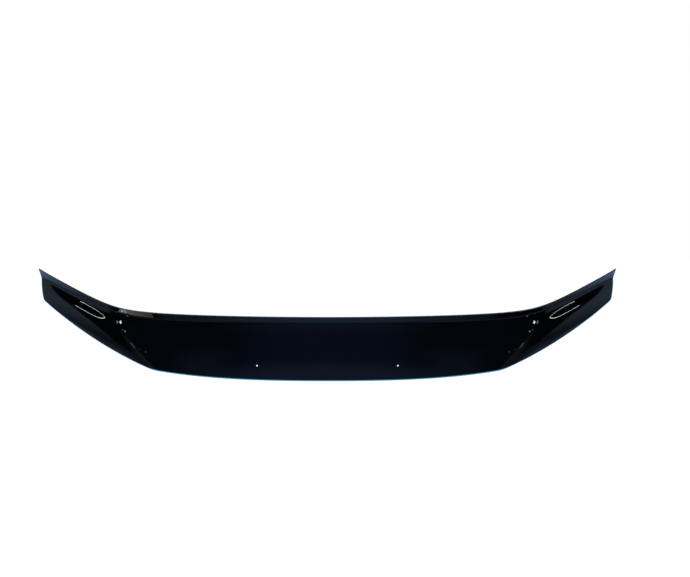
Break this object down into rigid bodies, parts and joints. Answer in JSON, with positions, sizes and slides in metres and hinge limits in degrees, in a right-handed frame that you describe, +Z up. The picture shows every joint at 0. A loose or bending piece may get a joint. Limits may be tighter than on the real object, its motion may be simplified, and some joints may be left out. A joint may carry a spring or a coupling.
{
  "type": "bonnet deflector",
  "caption": "Gloss black bonnet deflector: a curved sheet with swept wings, soft slanted bends and a flared top lip, screwed to the front edge of a bonnet.",
  "frame": {"origin": "midway between the two screw holes, on the front face", "axes": "+X across the car, -Y the way the face looks and the screws come out, +Z up"},
  "size_m": [1.44, 0.265, 0.2289],
  "materials": {
    "gloss_black_sheet": "high gloss near-black tinted sheet"
  },
  "bodies": {
    "root": {"deflector": "gloss_black_sheet"}
  },
  "joints": []
}
